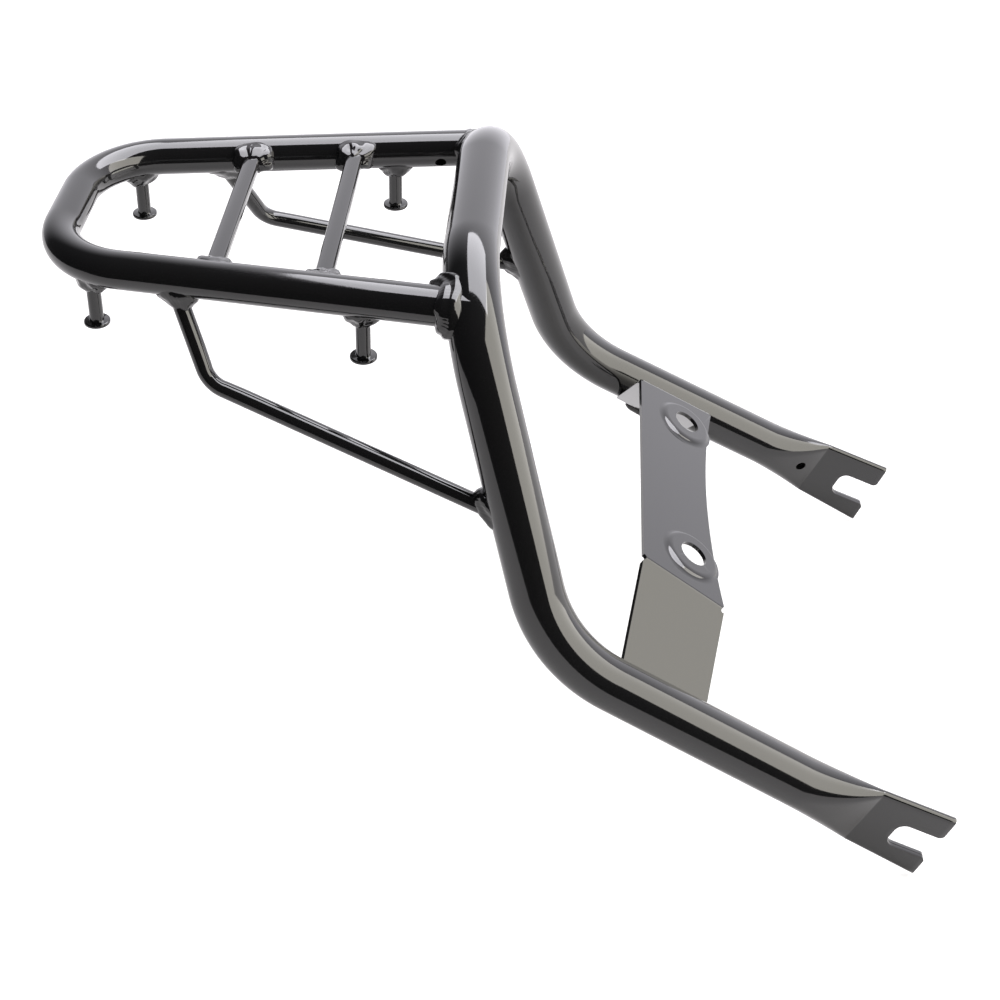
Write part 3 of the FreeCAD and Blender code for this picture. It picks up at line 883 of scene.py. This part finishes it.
def pinched(station, shape, inner):
    """A ring of the stay, pressed in a little at the inside of its bend."""
    near_elbow = math.exp(-((station[0] - STAY_ELBOW).length / STAY_PINCH_REACH) ** 4)
    ring = []
    for spot in ring_at(station, shape):
        ray = unit(spot - station[0])
        facing = max(0.0, ray.dot(inner)) ** 3
        ring.append(spot - ray * STAY_PINCH * facing * near_elbow)
    return ring


def stays():
    """Both stays and the beads at their tops and feet."""
    shape = round_shape(STAY_R, STAY_SEGMENTS)
    up_way = unit(STAY_TOP - STAY_ELBOW)
    down_way = unit(STAY_FOOT - STAY_ELBOW)
    ends = (STAY_TOP - up_way * STAY_STOPS[0], STAY_FOOT - down_way * STAY_STOPS[1])
    roots = (STAY_TOP - up_way * STAY_ROOTS[0], STAY_FOOT - down_way * STAY_ROOTS[1])
    path = bent_path([ends[0], STAY_ELBOW, ends[1]], [STAY_BEND], STAY_SPACING)
    stations = carried(path, unit(up_way - down_way))
    rings = [pinched(station, shape, unit(up_way + down_way)) for station in stations]
    rail_part = near_part(RAIL_HALF, STAY_TOP)
    hoop_part = near_part(HOOP_HALF, STAY_FOOT)
    first = coped_end(shape, stations[0], up_way, rail_part, RAIL_R)
    last = coped_end(shape, stations[-1], down_way, hoop_part, HOOP_R)
    body = skin([first] + rings + [last])
    for side, seed in STAY_BEADS:
        make("stay_" + side, sided(side, body), "stay_" + side)
        top = weld(rail_part, RAIL_R, roots[0], up_way, X_AXIS, lambda turn: STAY_R, STAY_WELD, seed,
                   power=1.7, lump=0.6)
        foot = weld(hoop_part, HOOP_R, roots[1], down_way, Z_AXIS, lambda turn: STAY_R, STAY_WELD,
                    seed + STAY_FOOT_SEED, power=1.7, lump=0.6)
        for place, ring in (("top", top), ("foot", foot)):
            name = "weld_stay_%s_%s" % (place, side)
            make(name, sided(side, ring), name, sharp=BEAD_SHARP)


# collars: (side, seed, share of the full size, lobes, rise of the hump)
COLLAR_BEADS = (("left", 61, 0.85, 0.6, 0.7), ("right", 67, 1.1, 0.75, 3.0))
COLLAR_CAP = 23.0
COLLAR_LUMP = 0.45
COLLAR_AROUND = 144
COLLAR_REACH = 50
COLLAR_START = 34
COLLAR_ROOT_BACK = 20


def collars():
    """The beads where the rail is welded to the hoop."""
    carrier = near_part(HOOP_HALF, RAIL_FRONT, COLLAR_REACH)
    axis_meets = meet(carrier, HOOP_R, RAIL_FRONT - RAIL_DIR * COLLAR_START, RAIL_DIR)
    root = axis_meets - RAIL_DIR * COLLAR_ROOT_BACK
    for side, seed, share, lobes, hump in COLLAR_BEADS:
        size = (COLLAR_WELD[0] * share, COLLAR_WELD[1] * share)
        ring = weld(carrier, HOOP_R, root, RAIL_DIR, Z_AXIS, lambda turn: RAIL_R, size, seed,
                    power=0.95, lump=COLLAR_LUMP * lobes, lobes=lobes, around=COLLAR_AROUND,
                    cap=COLLAR_CAP, hump_rise=hump)
        name = "weld_rail_" + side
        make(name, sided(side, ring), name, sharp=BEAD_SHARP)


# bridge plate: PLATE_S points down its slope, PLATE_N out of it, FLAP_N out of the left flap
SHEET_SPARE = (30, 40)
FLAP_POINTS = (60, 30, 8)
HOLLOW_STEPS = 60
BLOCK_SPAN = (-90, 12)
FLAP_TOUCH_ALONG = 0.4
BOSS_STEPS = 9
BOSS_CUT_HALF = 9
NOTCH_CUT_HALF = 20
PLATE_EASE = 0.3
PLATE_EASE_ANGLE = 55
BOSS_CALM = 0.55
CALM_MARGINS = (0.6, 0.2)
TILT = math.radians(PLATE_TILT)
PLATE_S = Vector((math.cos(TILT), 0, -math.sin(TILT)))
PLATE_N = Vector((math.sin(TILT), 0, math.cos(TILT)))
PLATE_O = Vector((PLATE_REAR_X, 0, -PLATE_DROP))
LEAN = math.radians(FLAP_ANGLE)
FLAP_N = LEG_UP * math.cos(LEAN) + LEG_OUT * math.sin(LEAN)
FLAP_O = KNEE - FLAP_N * (HOOP_R - FLAP_SINK)


def on_plate(s, y):
    """A point on the upper face of the plate."""
    return PLATE_O + PLATE_S * s + Y_AXIS * y


def fold_y(s):
    """Half the distance between the folds at s along the slope of the plate."""
    return (FLAP_O - on_plate(s, 0)).dot(FLAP_N) / FLAP_N.y


def folded_row(s, radius):
    """Points across one face of the folded sheet at s, which turns at a radius, left flap first."""
    along = unit(on_plate(10, fold_y(10)) - on_plate(0, fold_y(0)))
    axis = on_plate(s, fold_y(s)) - (PLATE_N + FLAP_N) * (FOLD_OUTER_R / (1 + PLATE_N.dot(FLAP_N)))
    flap_way = unit(along.cross(FLAP_N))
    if flap_way.y < 0:
        flap_way = -flap_way
    half = [axis + FLAP_N * radius + flap_way * reach for reach in FLAP_POINTS]
    sweep = PLATE_N.angle(FLAP_N)
    for step in range(ARC_STEPS + 1):
        share = step / ARC_STEPS
        ray = (FLAP_N * math.sin(sweep * (1 - share)) + PLATE_N * math.sin(sweep * share)) / math.sin(sweep)
        half.append(axis + ray * radius)
    edge = half[-1]
    half += [Vector((edge.x, edge.y * share, edge.z)) for share in (0.75, 0.5, 0.25)]
    return half + [Vector((edge.x, 0, edge.z))] + [flipped(spot) for spot in reversed(half)]


def folded_sheet():
    """The folded sheet, longer than the plate at both ends."""
    rows = []
    for s in (-SHEET_SPARE[0], PLATE_DEPTH + SHEET_SPARE[1]):
        top = folded_row(s, FOLD_OUTER_R)
        under = folded_row(s, FOLD_OUTER_R - PLATE_THICK)
        rows.append(top + under[::-1])
    size = len(rows[0])
    faces = strip(size, 0, 1)
    for shift in (0, size):
        for k in range(size // 2 - 1):
            faces.append([shift + k, shift + k + 1, shift + size - 2 - k, shift + size - 1 - k])
    return [vert for row in rows for vert in row], faces


def plate_outline():
    """The outline of the plate seen square to its slope, as (s, y) pairs."""
    touch_y = KNEE.y + (LEG_END.y - KNEE.y) * FLAP_TOUCH_ALONG - FLAP_N.y * HOOP_R
    end_y = touch_y + FLAP_PAST * math.cos(LEAN)
    wide = fold_y(PLATE_DEPTH)
    shift = FLAP_SKEW * (end_y - fold_y(0))
    front_shift = FLAP_SKEW * (end_y - wide)
    outline = [(shift, -end_y), (0, -fold_y(0)), (0, fold_y(0)), (shift, end_y)]
    outline += [(PLATE_DEPTH + front_shift, end_y), (PLATE_DEPTH, wide)]
    curl = (wide ** 2 + PLATE_HOLLOW ** 2) / (2 * PLATE_HOLLOW)
    for step in range(1, HOLLOW_STEPS):
        y = wide * math.cos(math.pi * step / HOLLOW_STEPS)
        outline.append((PLATE_DEPTH - PLATE_HOLLOW + curl - math.sqrt(curl ** 2 - y ** 2), y))
    return outline + [(PLATE_DEPTH, -wide), (PLATE_DEPTH + front_shift, -end_y)]


def boss_profile(thick):
    """(radius, rise) pairs of a face of a boss that lies a thickness below its upper face."""
    width = BOSS_FOOT_R - BOSS_TOP_R
    curl = (width ** 2 + BOSS_RISE ** 2) / (4 * BOSS_RISE)
    sweep = math.asin(width / (2 * curl))
    low = -thick - (0.5 if thick else 1.0)
    profile = [(AXIS_HOLE, low), (BOSS_FOOT_R, low)]
    for step in range(BOSS_STEPS + 1):
        angle = sweep * step / BOSS_STEPS
        profile.append((BOSS_FOOT_R - (curl + thick) * math.sin(angle),
                        curl - (curl + thick) * math.cos(angle)))
    for step in range(BOSS_STEPS + 1):
        angle = sweep * (1 - step / BOSS_STEPS)
        profile.append((BOSS_TOP_R + (curl - thick) * math.sin(angle),
                        BOSS_RISE - curl + (curl - thick) * math.cos(angle)))
    return profile + [(AXIS_HOLE, BOSS_RISE - thick)]


def plate():
    """The bridge plate: folded sheet, outline with a lobe round each boss, bosses, holes and notches."""
    item = make("plate", folded_sheet())
    outline = plate_outline()
    walls = [[on_plate(s, y) + PLATE_N * rise for s, y in outline] for rise in BLOCK_SPAN]
    block = make("block", skin(walls))
    centres = [on_plate(BOSS_S, side * BOSS_SPACING / 2) for side in (1, -1)]
    for centre in centres:
        low, high = (centre + PLATE_N * rise for rise in BLOCK_SPAN)
        change(block, "UNION", rod(low, high, BOSS_FOOT_R, BOSS_SEGMENTS))
    change_by(item, "INTERSECT", block)
    for centre in centres:
        for operation, thick in (("UNION", 0.0), ("DIFFERENCE", PLATE_THICK)):
            rings = revolved(boss_profile(thick), centre, PLATE_S, Y_AXIS, PLATE_N, BOSS_SEGMENTS)
            change(item, operation, skin(rings))
        half = PLATE_N * BOSS_CUT_HALF
        cut(item, rod(centre - half, centre + half, BOSS_HOLE_R, BOSS_HOLE_SEGMENTS))
    for s in (0.0, PLATE_DEPTH):
        spot = on_plate(s, fold_y(s))
        half = PLATE_N * NOTCH_CUT_HALF
        notch = rod(spot - half, spot + half, NOTCH_R, NOTCH_SEGMENTS)
        cut(item, notch, mirrored(notch))
    eased(item, PLATE_EASE, PLATE_EASE_ANGLE)
    finish_piece(item, ["bridge_plate"], PLATE_SHARP)
    settle_normals(item)
    calm_bosses(item, [placed(centre) for centre in centres])


def calm_bosses(item, centres):
    """Turns the shading of the bosses part of the way to that of the flat sheet; no point moves."""
    mesh = item.data
    normals = [corner.vector.copy() for corner in mesh.corner_normals]
    for loop in mesh.loops:
        spot = mesh.vertices[loop.vertex_index].co
        for centre in centres:
            offset = spot - centre
            reach = (offset - PLATE_N * offset.dot(PLATE_N)).length * 1000
            normal = normals[loop.index]
            on_boss = BOSS_HOLE_R + CALM_MARGINS[0] < reach < BOSS_FOOT_R + CALM_MARGINS[1]
            if on_boss and normal.dot(PLATE_N) > 0.4:
                normals[loop.index] = unit(normal.lerp(PLATE_N, BOSS_CALM))
    mesh.normals_split_custom_set(normals)


# plate beads: (side, seed)
PLATE_BEADS = (("left", 71), ("right", 83))
PLATE_BEAD_STEPS = 64
PLATE_BEAD_SEGMENTS = 28
PLATE_BEAD_TAPER = 0.8
PLATE_BEAD_LUMP = 0.10
PLATE_BEAD_RIPPLE = 0.03
PLATE_BEAD_PAST = 1.0
PLATE_BEAD_SINK = 0.6


def plate_weld(side, seed):
    """A lens-shaped bead in the nook between the end of the sheet and the leg."""
    along = unit(FLAP_N.cross(LEG_DIR))
    if along.y < 0:
        along = -along
    start_x = PLATE_REAR_X - PLATE_WELD_R * PLATE_BEAD_TAPER
    end_x = PLATE_REAR_X + PLATE_DEPTH * PLATE_S.x - PLATE_WELD_SHORT + PLATE_WELD_R * PLATE_BEAD_TAPER
    shape = round_shape(1.0, PLATE_BEAD_SEGMENTS)
    rings = []
    for step in range(1, PLATE_BEAD_STEPS):
        share = step / PLATE_BEAD_STEPS
        x = start_x + (end_x - start_x) * share
        touch = FLAP_O + LEG_DIR * ((x - FLAP_O.x) / LEG_DIR.x)
        centre = touch + along * (FLAP_PAST + PLATE_BEAD_PAST) - FLAP_N * PLATE_BEAD_SINK
        radius = PLATE_WELD_R * (1 - abs(2 * share - 1) ** 4) ** 0.5
        radius *= (1 + PLATE_BEAD_LUMP * noise.noise(Vector((x * 0.18, seed, 0)))
                   + PLATE_BEAD_RIPPLE * math.sin(x * 3.6))
        ring = []
        for a, b in shape:
            ray = along * a + FLAP_N * b
            bump = 1 + PLATE_BEAD_LUMP * noise.noise(Vector((x * 0.25, seed + a, b)))
            ring.append(centre + ray * radius * bump)
        rings.append(ring)
    name = "weld_plate_" + side
    make(name, sided(side, skin(rings)), name, sharp=BEAD_SHARP)


hoop()
rail()
for row in BAR_X:
    crossbar(row)
for row in PEG_X:
    peg(row)
stays()
collars()
plate()
for side, seed in PLATE_BEADS:
    plate_weld(side, seed)


# studio, in metres of the frame: the table's height and edges (left, right, front, back)
FLOOR_Z = -0.026
TABLE = (-1.3, 1.1, -0.62, 1.0)
TABLE_GREY = (0.5, 0.495, 0.49, 1)
TABLE_GLOW = 0.62

# the room grows paler towards the wall, along Y and a little along X
WALL_LEAN = 0.35
WALL_RANGE = (0.05, 0.95)
WALL_LEVELS = (0.04, 1.15)
ROOM_COLOUR = (0.985, 0.97, 1.03, 1)

# soft boxes: the middle of the rack, then height or distance, size, level where 1 is white, and colour
MIDDLE = Vector((-0.2, 0.0, 0.2))
TOP_HEIGHT = 3.0
TOP_SHIFT = 0.37 * TOP_HEIGHT
TOP_SIZE = (1.26 * TOP_HEIGHT, 1.16 * TOP_HEIGHT)
TOP_LEVEL = 5.0
TOP_COLOUR = (0.985, 0.975, 1.03)
SIDE_DISTANCE = 3.0
SIDE_HEADING = -15.5
SIDE_RISE = 20.0
SIDE_SIZE = (3.5, 3.4)
SIDE_LEVEL = 3.2
SIDE_COLOUR = (1.0, 0.965, 0.88)

# camera: place, then heading, dip and roll in degrees, and the lens
CAMERA_PLACE = Vector((-0.17406, -0.73898, 0.65714))
CAMERA_HEADING = 100.5984
CAMERA_DIP = 35.0992
CAMERA_ROLL = -3.0970
CAMERA_LENS = 64.15
CAMERA_SHIFT = (0.2187, -0.0890)


def compass(heading, rise):
    """The direction with a heading from X towards Y and a rise above the table, in degrees."""
    heading = math.radians(heading)
    rise = math.radians(rise)
    return Vector((math.cos(rise) * math.cos(heading), math.cos(rise) * math.sin(heading), math.sin(rise)))


def floor():
    """A pale table. Only the camera sees its extra white, so the paint mirrors a plain grey."""
    left, right, front, back = TABLE
    corners = [(x, y, FLOOR_Z) for x, y in ((left, front), (right, front), (right, back), (left, back))]
    mesh = bpy.data.meshes.new("floor")
    mesh.from_pydata(corners, [], [[0, 1, 2, 3]])
    plane = bpy.data.objects.new("floor", mesh)
    bpy.context.collection.objects.link(plane)
    material = bpy.data.materials.new("floor_white")
    material.use_nodes = True
    nodes = material.node_tree.nodes
    links = material.node_tree.links
    shader = nodes["Principled BSDF"]
    shader.inputs["Base Color"].default_value = TABLE_GREY
    shader.inputs["Roughness"].default_value = 0.9
    shader.inputs["Specular IOR Level"].default_value = 0.0
    path = nodes.new("ShaderNodeLightPath")
    glow = nodes.new("ShaderNodeMath")
    glow.operation = "MULTIPLY"
    glow.inputs[1].default_value = TABLE_GLOW
    links.new(path.outputs["Is Camera Ray"], glow.inputs[0])
    shader.inputs["Emission Color"].default_value = (1, 1, 1, 1)
    links.new(glow.outputs["Value"], shader.inputs["Emission Strength"])
    plane.data.materials.append(material)


def lamp(name, place, target, size, level, colour):
    """A soft box whose face glows at the given level."""
    data = bpy.data.lights.new(name, "AREA")
    data.shape = "RECTANGLE"
    data.size, data.size_y = size
    data.energy = level * math.pi * size[0] * size[1]
    data.color = colour
    item = bpy.data.objects.new(name, data)
    item.location = place
    item.rotation_euler = (target - place).to_track_quat("-Z", "Y").to_euler()
    item.visible_camera = False
    bpy.context.collection.objects.link(item)


def lamps():
    """A box overhead and a warm one at the right."""
    top_at = MIDDLE + Vector((TOP_SHIFT, TOP_SHIFT, TOP_HEIGHT))
    below = Vector((top_at.x, top_at.y, 0))
    lamp("top_box", top_at, below, TOP_SIZE, TOP_LEVEL, TOP_COLOUR)
    side_at = MIDDLE + compass(SIDE_HEADING, SIDE_RISE) * SIDE_DISTANCE
    lamp("side_box", side_at, MIDDLE, SIDE_SIZE, SIDE_LEVEL, SIDE_COLOUR)


def world():
    """A dim room with a pale wall behind the rack, white to the camera."""
    made = bpy.data.worlds.new("studio")
    bpy.context.scene.world = made
    made.use_nodes = True
    nodes = made.node_tree.nodes
    links = made.node_tree.links
    coordinates = nodes.new("ShaderNodeTexCoord")
    split = nodes.new("ShaderNodeSeparateXYZ")
    links.new(coordinates.outputs["Generated"], split.inputs["Vector"])
    wall = nodes.new("ShaderNodeMapRange")
    wall.interpolation_type = "SMOOTHSTEP"
    wall.inputs["From Min"].default_value = WALL_RANGE[0]
    wall.inputs["From Max"].default_value = WALL_RANGE[1]
    wall.inputs["To Min"].default_value = WALL_LEVELS[0]
    wall.inputs["To Max"].default_value = WALL_LEVELS[1]
    side = nodes.new("ShaderNodeMath")
    side.operation = "MULTIPLY_ADD"
    side.inputs[1].default_value = WALL_LEAN
    links.new(split.outputs["X"], side.inputs[0])
    links.new(split.outputs["Y"], side.inputs[2])
    links.new(side.outputs["Value"], wall.inputs["Value"])
    path = nodes.new("ShaderNodeLightPath")
    level = nodes.new("ShaderNodeMath")
    level.operation = "MAXIMUM"
    links.new(wall.outputs["Result"], level.inputs[0])
    links.new(path.outputs["Is Camera Ray"], level.inputs[1])
    back = nodes["Background"]
    back.inputs["Color"].default_value = ROOM_COLOUR
    links.new(level.outputs["Value"], back.inputs["Strength"])


def camera():
    """The fitted camera. Its lens shift is part of the fit."""
    data = bpy.data.cameras.new("camera")
    data.sensor_fit = "HORIZONTAL"
    data.sensor_width = 36
    data.lens = CAMERA_LENS
    data.shift_x, data.shift_y = CAMERA_SHIFT
    item = bpy.data.objects.new("camera", data)
    bpy.context.collection.objects.link(item)
    aim = compass(CAMERA_HEADING, -CAMERA_DIP).to_track_quat("-Z", "Y").to_matrix().to_4x4()
    roll = Matrix.Rotation(math.radians(CAMERA_ROLL), 4, "Z")
    item.matrix_world = Matrix.Translation(CAMERA_PLACE) @ aim @ roll
    bpy.context.scene.camera = item


floor()
world()
lamps()
camera()
bpy.context.scene.view_settings.view_transform = "Standard"
